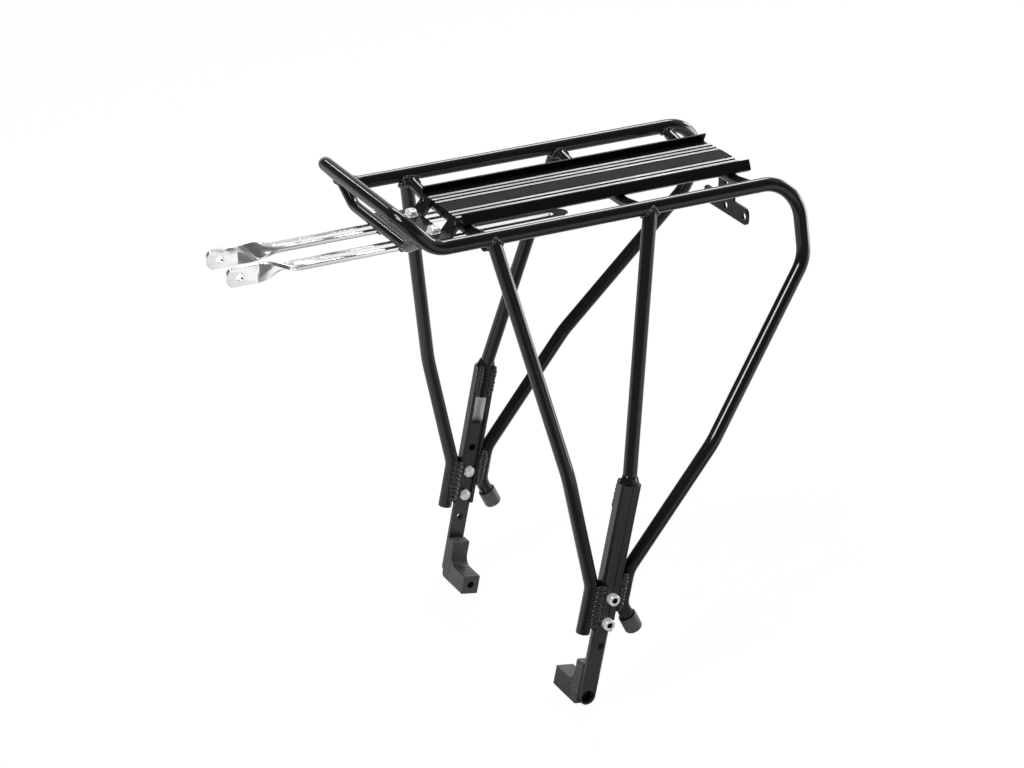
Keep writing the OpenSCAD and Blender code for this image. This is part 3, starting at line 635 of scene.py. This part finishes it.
for s in (1, -1):
    rail = (0, s * rail_y, rail_z)
    for x, knee in ((front_top, front_points[1]), (middle_top, middle_points[1])):
        top = np.array((x, s * rail_y, rail_z))
        down = np.array((knee[0], s * knee[1], knee[2])) - top
        bead_ring(top, down, TUBE_R, rail, rail_axis, TUBE_R, ring_half)
    for x in cross_places.values():
        down = (0, -s * (cross_weld_y - cross_flat_y), cross_flat_z - cross_weld_z)
        bead_ring((x, s * cross_weld_y, cross_weld_z), down, ROD_R, rail, rail_axis, TUBE_R, ring_half,
                  rail_z - bar_ring_drop)
    down = (0, -s * (rail_y - bridge_flat_y), bridge_flat_z - bridge_end_z)
    bead_ring((bridge_x, s * rail_y, bridge_end_z), down, ROD_R, (hoop_x, s * rail_y, rail_z),
              (-hoop_reach, 0, hoop_rise), TUBE_R, bridge_ring_half)
    for start_x, end_x, y, z, (out_y, out_z), half in corner_beads:
        bead_line((start_x, s * y, z), (end_x, s * y, z), (0, s * out_y, out_z), half, corner_step)
    for y, out, front, back in sleeve_faces:
        start, end = (on_leg(front, along, s * y) for along in front_bead)
        bead_line(start, end, (out * front_bead_lean, s * out, 0), front_bead_half, front_bead_step)
        start, end = (on_leg(back, along, s * y) for along in back_bead)
        bead_line(start, end, (out * back_bead_lean, s * out, 0), back_bead_half, back_bead_step)
    for across in (nest_across, -nest_across):
        start, end = (on_leg(across, along, s * nest_y) for along in nest_bead)
        bead_line(start, end, (0, -s, 0), nest_half, nest_step)
ripples.grown("weld_beads", np.array(places) * MM,
              {"outward": outward, "onward": onward, "half": np.array(half_width) * MM},
              "carrier", "gloss_black")

STEPS = 72
ROUND = np.arange(STEPS) * 2 * math.pi / STEPS


def circle(radius):
    return np.full(STEPS, float(radius))


def lathe(rings, origin, axis, ring_shut=False):
    """A shell from (height, radii) rings along the axis. Shut rings join the last to the first."""
    axis = unit(axis)
    aslant = (0.3, 0.2, 0.93) if abs(axis[2]) < 0.9 else (1, 0, 0)  # never along the axis
    side = unit(np.cross(axis, aslant))
    over = np.cross(axis, side)
    spokes = np.outer(np.cos(ROUND), side) + np.outer(np.sin(ROUND), over)
    verts = np.vstack([np.array(origin) + axis * h + spokes * r[:, None] for h, r in rings])
    joined = len(rings) if ring_shut else len(rings) - 1
    faces = []
    for i in range(joined):
        low, high = i * STEPS, (i + 1) % len(rings) * STEPS
        for k in range(STEPS):
            after = (k + 1) % STEPS
            faces.append([low + k, low + after, high + after, high + k])
    if not ring_shut:
        last = (len(rings) - 1) * STEPS
        faces += [list(range(STEPS))[::-1], [last + k for k in range(STEPS)]]
    return verts * MM, faces


def shoulder(foot_shift):
    """Weld metal from the outline of a sleeve's top in to the leg, as rings for lathe. Sizes in mm."""
    lump = 0.35
    rings = []
    # height, half width, half depth and how much of the shift is left
    for h, wide, deep, shift in ((-0.5, 7.7, 4.9, 1.0), (0.3, 7.9, 5.2, 1.0), (1.6, 7.3, 5.5, 0.8),
                                 (3.4, 6.2, 5.5, 0.4), (5.0, 5.5, 5.3, 0.1), (6.2, 4.9, 4.9, 0.0)):
        oval = 1 / np.hypot(np.cos(ROUND) / deep, np.sin(ROUND) / wide)
        lumps = lump * np.sin(6 * ROUND + 1.7 * h) * min(1, max(0, h) / 2) * (h < 6)
        rings.append((h, oval + foot_shift * shift * np.cos(ROUND) + lumps))
    return rings


sleeve_top = 163.5
shoulders = [lathe(shoulder(s), on_leg(0, sleeve_top, s * middle_y), on_leg(0, 1, 0)) for s in (1, -1)]
build("sleeve_shoulders", shoulders, "carrier", gloss_black)


# ---------------------------------------------------------------------------
# Leg sleeves
# Extruded channels with a rib down the outside, drilled through, their edges
# broken by tumbling and the metal anodised black. They stand welded to the legs.


def broken(mesh, edge, sharp=40):
    """A copy of a mesh with the edges that are sharper than sharp degrees rounded by edge metres."""
    same_point, same_face = 2e-6, math.radians(0.6)
    solid = bmesh.new()
    solid.from_mesh(mesh)
    bmesh.ops.remove_doubles(solid, verts=solid.verts, dist=same_point)
    bmesh.ops.dissolve_limit(solid, angle_limit=same_face, verts=solid.verts, edges=solid.edges)
    plain = bpy.data.meshes.new("blank")
    solid.to_mesh(plain)
    solid.free()
    plain.shade_smooth()
    rough = bpy.data.objects.new("blank", plain)
    bpy.context.scene.collection.objects.link(rough)
    bevel = rough.modifiers.new("edge", "BEVEL")
    bevel.width = edge
    bevel.segments = 2
    bevel.limit_method = "ANGLE"
    bevel.angle_limit = math.radians(sharp)
    rough.modifiers.new("normals", "WEIGHTED_NORMAL").keep_sharp = True
    bpy.context.view_layer.update()
    done = bpy.data.meshes.new_from_object(rough.evaluated_get(bpy.context.evaluated_depsgraph_get()))
    bpy.data.objects.remove(rough)
    return done


def shown_as(name, mesh, node, material):
    """The mesh as the finished piece that stands for a CAD node."""
    mesh.name = name
    mesh.materials.clear()
    mesh.materials.append(material)
    piece = bpy.data.objects.new(name, mesh)
    bpy.context.scene.collection.objects.link(piece)
    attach(piece, frame["nodes"][node]["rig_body"])
    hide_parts(node)


def edged(name, node, material, edge):
    """The CAD node's own solid with its edges rounded."""
    shown_as(name, broken(frame["nodes"][node].data, edge), node, material)


def leg_frame(finish):
    """The place across, along and out from the middle of a telescopic leg, in metres."""
    x, z = finish.along("X"), finish.along("Z")
    return (x * math.cos(tilt) - z * math.sin(tilt), x * math.sin(tilt) + z * math.cos(tilt),
            finish.along("Y").absolute())


satin = Finish("black_anodised")
drawn = satin.noise(0.0009, 2, (1, 1, 0.03))
# painted highlight: the floor inside the window of the channel is painted near white and half metallic,
# for the light that it reflects
window_half, window_inner, window_outer = 0.0063, 0.1085, 0.1129
window_foot, window_top = (0.116, 0.119), (0.143, 0.145)
across, along, out = leg_frame(satin)
window = (across.absolute() < window_half) * (out > window_inner) * (out < window_outer)
window_highlight = window * along.smooth(*window_foot) * along.smooth(*window_top, 1.0, 0.0)
sleeve_black = satin.surface(
    base_color=satin.tint(window_highlight, (0.003, 0.003, 0.0033), (0.97, 0.97, 0.96)),
    metallic=window_highlight * 0.5,
    roughness=drawn.between(0.22, 0.32) + window_highlight * 0.15,
    specular_ior_level=0.7,
    normal=satin.bump(drawn, 0.00002, 0.25),
)
for side in ("left", "right"):
    edged(f"sleeve_{side}", f"leg_sleeve_{side}", sleeve_black, edge=0.0003)


# ---------------------------------------------------------------------------
# Sliders and feet
# The sliders are grey anodised bars with bolt holes and an eyelet, and the feet
# are cast blocks, whose ears were sawn from the bar and keep the saw's texture.

grey = Finish("grey_forging")
grain = grey.noise(0.0007, 3)
# painted shade: the walls of the bolt holes are painted blacker, as the shade inside them, and are
# duller
hole_first, hole_pitch, hole_r = 0.0415, 0.019, 0.0028
holes_low, holes_high = 0.03, 0.11
across, along, out = leg_frame(grey)
pitches = (along - hole_first) / hole_pitch
from_hole = (pitches - pitches.math("ROUND")) * hole_pitch
hole_shade_disc = (across * across + from_hole * from_hole).math("SQRT") < hole_r
bore = hole_shade_disc * (along > holes_low) * (along < holes_high)
slider_grey = grey.surface(
    base_color=grey.tint(bore, (0.012, 0.012, 0.0125), (0.002, 0.002, 0.002)),
    roughness=grain.between(0.30, 0.42) + bore * 0.4,
    specular_ior_level=0.7,
    normal=grey.bump(grain, 0.00004, 0.5),
)

foot = Finish("foot_casting")
ear_inner, ear_outer = (0.0962, 0.0978), (0.1060, 0.1068)
from_centre = foot.along("Y").absolute()
sawn = from_centre.smooth(*ear_inner) * from_centre.smooth(*ear_outer, 1.0, 0.0)
fine = foot.noise(0.0007, 3)
coarse = foot.noise(0.0014, 2)
foot_grey = foot.surface(
    base_color=foot.tint(coarse.smooth(0.35, 0.65) * sawn, (0.018, 0.018, 0.019), (0.060, 0.060, 0.061)),
    roughness=fine.between(0.34, 0.46) + sawn * 0.12,
    specular_ior_level=0.6,
    normal=foot.bump(fine * 0.3 + coarse * sawn * 3.0, 0.00030, 1.0),
)
for side in ("left", "right"):
    edged(f"slider_{side}", f"leg_slider_{side}", slider_grey, edge=0.0003)
    edged(f"foot_{side}", f"foot_block_{side}", foot_grey, edge=0.0007)


# ---------------------------------------------------------------------------
# Clamp plate, arm guide and light plate
# Pressed steel, coated with the frame. The clamp plate's tabs are riveted to
# the front cross bar, and the guide is welded under the bridge.

sheet = Finish("satin_black_sheet")
plate_black = sheet.surface(
    base_color=(0.006, 0.006, 0.0065, 1),
    roughness=sheet.noise(0.004, 3).between(0.30, 0.42),
    specular_ior_level=0.22,
)
edged("clamp_plate", "clamp_bracket", gloss_black, edge=0.0006)
edged("clamp_rivets", "bracket_rivets", gloss_black, edge=0.0002)
edged("guide_plate", "arm_guide", gloss_black, edge=0.0003)
edged("light_plate", "light_bracket", plate_black, edge=0.0002)


# ---------------------------------------------------------------------------
# Deck
# Black anodised extrusion. The crests of its ribs are painted bright grey and
# metallic, with streaks, as painted highlights, and the smooth centre band stays matt black.

deck = Finish("deck_extrusion")
crest_z, crest_inner, crest_outer, band_half = 0.3418, 0.0076, 0.0245, 0.0074
wide = deck.along("Y").absolute()
high = deck.along("Z")
crest = (high > crest_z) * (wide > crest_inner) * (wide < crest_outer)
streak = deck.noise(0.0015, 3, (0.02, 1, 1))
# painted highlight: the rib crests are painted bright grey and metallic, with streaks
crest_highlight = streak.smooth(0.25, 0.75, 0.5, 1.0) * crest
band = (high > crest_z) * (wide < band_half)
grit = deck.noise(0.0005, 2)
deck_black = deck.surface(
    base_color=deck.tint(crest_highlight, (0.006, 0.006, 0.0065), (0.50, 0.50, 0.49)),
    metallic=crest_highlight * 0.9,
    roughness=0.3 + band * 0.25 + crest_highlight * 0.02 + grit * 0.08,
    specular_ior_level=0.07,
    normal=deck.bump(streak + grit * 0.4, 0.00002, 0.3),
)
edged("deck_extrusion", "deck_plate", deck_black, edge=0.00018)


# ---------------------------------------------------------------------------
# Stay arms
# Flat bars of polished aluminium with a long slot, pressed out of sheet, and
# twisted a quarter turn so that their drilled tips stand upright.

alloy = Finish("polished_alloy")
brush = alloy.noise(0.0012, 2, (0.02, 1, 1))
cloud = alloy.noise(0.02, 3)
bright_alloy = alloy.surface(
    base_color=(0.97, 0.972, 0.975, 1),
    metallic=1.0,
    roughness=brush.between(0.12, 0.20) + cloud * 0.06,
    normal=alloy.bump(brush, 0.00002, 0.1),
)

arm_y, arm_half, arm_z, arm_thick = 17.2, 6.5, 328.35, 3
arm_back, slot_back, slot_front, slot_half = 30.5, 19.5, -154.5, 2.7
twist_start, twist_end, twist_cuts = -172, -200, 19
tip_hole, tip_bore_r, tip_end, tip_half, tip_r = -212.5, 2.65, -221.9, 6.7, 8


def arc_points(x, radius, start, end, count=14):
    """Points of an arc about (x, 0), in mm, from one angle in degrees to another."""
    angles = np.radians(np.linspace(start, end, count))
    return [(x + radius * math.cos(a), radius * math.sin(a)) for a in angles]


def steady_order(part):
    """The caps as they were made, then the sides by their place, as extruding leaves those to chance."""
    heights = [vert.co.z for vert in part.verts]
    if max(heights) - min(heights) < arm_thick / 2 * MM:
        return part.index
    slant, after_caps = Vector((1, 0.7, 0)), 10000
    return after_caps + slant.dot(sum((vert.co for vert in part.verts), Vector()) / len(part.verts))


def arm_blank(hand):
    """The arm, cut from flat bar and twisted by hand, +1 or -1."""
    tip_corner = math.degrees(math.asin(tip_half / tip_r))
    shapes = [
        arc_points(arm_back - arm_half, arm_half, 90, -90, 20)
        + [(twist_start, -arm_half), (twist_end, -tip_half)]
        + arc_points(tip_end + tip_r, tip_r, 180 + tip_corner, 180 - tip_corner)
        + [(twist_end, tip_half), (twist_start, arm_half)],
        arc_points(slot_back - slot_half, slot_half, 90, -90)
        + arc_points(slot_front + slot_half, slot_half, 270, 90),
        arc_points(tip_hole, tip_bore_r, 0, 345, 24),
    ]
    solid = bmesh.new()
    for shape in shapes:
        ring = [solid.verts.new((x * MM, y * MM, -arm_thick / 2 * MM)) for x, y in shape]
        for a, b in zip(ring, ring[1:] + ring[:1]):
            solid.edges.new((a, b))
    bmesh.ops.triangle_fill(solid, edges=solid.edges, use_beauty=True)
    grown = bmesh.ops.extrude_face_region(solid, geom=solid.faces[:])["geom"]
    top = [g for g in grown if isinstance(g, bmesh.types.BMVert)]
    bmesh.ops.translate(solid, verts=top, vec=(0, 0, arm_thick * MM))
    bmesh.ops.recalc_face_normals(solid, faces=solid.faces)
    for parts in (solid.edges, solid.faces):
        parts.index_update()
        parts.sort(key=steady_order)
    flat = bpy.data.meshes.new("flat")
    solid.to_mesh(flat)
    solid.free()
    solid = bmesh.new()
    solid.from_mesh(broken(flat, edge=0.0005, sharp=60))
    for x in np.linspace(twist_start, twist_end, twist_cuts):
        bmesh.ops.bisect_plane(solid, geom=solid.verts[:] + solid.edges[:] + solid.faces[:],
                               plane_co=(x * MM, 0, 0), plane_no=(1, 0, 0))
    for vert in solid.verts:
        share = min(1, max(0, (twist_start * MM - vert.co.x) / ((twist_start - twist_end) * MM)))
        roll = math.radians(90) * share * share * (3 - 2 * share) * hand
        y, z = vert.co.y, vert.co.z
        vert.co.y = y * math.cos(roll) - z * math.sin(roll) + hand * arm_y * MM
        vert.co.z = y * math.sin(roll) + z * math.cos(roll) + arm_z * MM
    bmesh.ops.recalc_face_normals(solid, faces=solid.faces)
    twisted = bpy.data.meshes.new("twisted")
    solid.to_mesh(twisted)
    solid.free()
    twisted.shade_smooth()
    twisted.set_sharp_from_angle(angle=math.radians(50))
    return twisted


for side, hand in (("left", -1), ("right", 1)):
    shown_as(f"arm_{side}", arm_blank(hand), f"stay_arm_{side}", bright_alloy)


# ---------------------------------------------------------------------------
# Bolts, nuts and washers
# M5 socket-head bolts with knurled heads and black linings in their hex sockets
# as painted shade, lock nuts with a collar, and plain washers, all zinc plated.
# They pin the sliders in the sleeves and hold the arms.

plated = Finish("zinc_plate")
spots = plated.noise(0.0011, 3)
zinc = plated.surface(
    base_color=plated.tint(spots, (0.60, 0.61, 0.63), (0.95, 0.955, 0.96)),
    metallic=0.4,
    roughness=spots.between(0.10, 0.26),
    normal=plated.bump(spots, 0.00006, 0.5),
)

# painted shade: a black lining sits in each hex socket, standing in for the shade down in the socket
socket_shading = Finish("painted_socket_shade")
socket_shade_black = socket_shading.surface(
    base_color=(0.012, 0.012, 0.012, 1),
    roughness=socket_shading.noise(0.001, 2).between(0.35, 0.55),
    specular_ior_level=0.3,
)


def hexagon(flats, limit=99.0):
    """Radii round a hexagon of this width across flats, none beyond the limit."""
    within = (ROUND + math.pi / 6) % (math.pi / 3) - math.pi / 6
    return np.minimum(flats / 2 / np.cos(within), limit)


SHANK_R, HEAD_R, HEAD_HIGH, KNURL_DEEP = 2.5, 4.25, 5.0, 0.23
KEY_FLATS, KEY_FLOOR = 4, 2.5
NUT_FLATS, NUT_HIGH, COLLAR_HIGH = 8, 2.6, 3.5


def socket_screw(seat, axis, length):
    """A bolt whose head stands on the seat and looks along the axis. Sizes in mm."""
    knurl = np.where(np.arange(STEPS) % 3 == 0, HEAD_R - KNURL_DEEP, HEAD_R)
    key = hexagon(KEY_FLATS)
    shank = [(-length, circle(SHANK_R - 0.5)), (-length + 0.5, circle(SHANK_R)), (0, circle(SHANK_R))]
    head = [(0, circle(4.0)), (0.3, knurl), (4.2, knurl), (4.45, circle(4.15)), (4.85, circle(3.85)),
            (HEAD_HIGH, circle(3.5))]
    socket = [(HEAD_HIGH, key + 0.25), (HEAD_HIGH - 0.25, key), (KEY_FLOOR, key)]
    return lathe(shank + head + socket, seat, axis)


def socket_shade_cup(seat, axis):
    """A black lining in a bolt's hex socket, painted shade for its depth."""
    outer, inner = hexagon(KEY_FLATS - 0.02), hexagon(KEY_FLATS - 0.3)
    return lathe([(KEY_FLOOR + 0.1, outer), (4.65, outer), (4.65, inner), (KEY_FLOOR + 0.3, inner)],
                 seat, axis)


def lock_nut(seat, axis):
    """A nut that stands on the seat, its collar along the axis."""
    return lathe([(0, hexagon(NUT_FLATS, 4.1)), (0.3, hexagon(NUT_FLATS)), (2.1, hexagon(NUT_FLATS)),
                  (2.55, hexagon(NUT_FLATS, 4.05)), (NUT_HIGH, circle(3.75)), (3.3, circle(3.6)),
                  (COLLAR_HIGH, circle(3.2)), (COLLAR_HIGH, circle(2.75)), (0, circle(2.66))],
                 seat, axis, True)


bolt_along, bolt_sharp, seat_gap = (60.5, 79.5), 28, 0.1
channel_half, channel_wall, rib_high, rest_gap = 3.2, 1.6, 3.2, 0.15
# the heads stand on the rib, and the nuts on the slider, which rests on the channel's wall
screw_y = leg_y + channel_half + rib_high + seat_gap
lock_y = leg_y - channel_half + channel_wall + rest_gap - seat_gap
leg_screw_length, clamp_screw_length = 12.1, 11.7
clamp_x, clamp_under, clamp_over = -71.5, 325.8, 333.5

leg_places = [(along, s) for along in bolt_along for s in (1, -1)]
leg_screws = [socket_screw(on_leg(0, along, s * screw_y), (0, s, 0), leg_screw_length)
              for along, s in leg_places]
# the black linings in the hex sockets are painted shade
leg_socket_shades = [socket_shade_cup(on_leg(0, along, s * screw_y), (0, s, 0)) for along, s in leg_places]
leg_locks = [lock_nut(on_leg(0, along, s * lock_y), (0, -s, 0)) for along, s in leg_places]
build("leg_screws", leg_screws, "carrier", zinc, ["leg_bolts"], bolt_sharp)
build("socket_shade_linings", leg_socket_shades, "carrier", socket_shade_black, sharp=bolt_sharp)
build("leg_lock_nuts", leg_locks, "carrier", zinc, ["leg_nuts"], bolt_sharp)
clamp_places = [(clamp_x, s * arm_y) for s in (1, -1)]
clamp_screws = [socket_screw((*place, clamp_under), (0, 0, -1), clamp_screw_length)
                for place in clamp_places]
clamp_locks = [lock_nut((*place, clamp_over), (0, 0, 1)) for place in clamp_places]
build("clamp_screws", clamp_screws, "carrier", zinc, ["clamp_bolts"], bolt_sharp)
build("clamp_lock_nuts", clamp_locks, "carrier", zinc, ["clamp_nuts"], bolt_sharp)
edged("washers", "clamp_washers", zinc, edge=0.0002)


# ---------------------------------------------------------------------------
# End caps
# Moulded black rubber cups, pushed over the kicked-back ends of the back legs to
# close the tubes. The rubber has a dull bloom.

rubber = Finish("cap_rubber")
bloom = rubber.noise(0.004, 3)
cap_rubber = rubber.surface(
    base_color=rubber.tint(bloom, (0.045, 0.045, 0.045), (0.075, 0.075, 0.075)),
    roughness=bloom.between(0.36, 0.48),
    normal=rubber.bump(rubber.noise(0.0006, 2), 0.00003, 0.4),
)
for side in ("left", "right"):
    edged(f"cap_{side}", f"end_cap_{side}", cap_rubber, edge=0.0011)
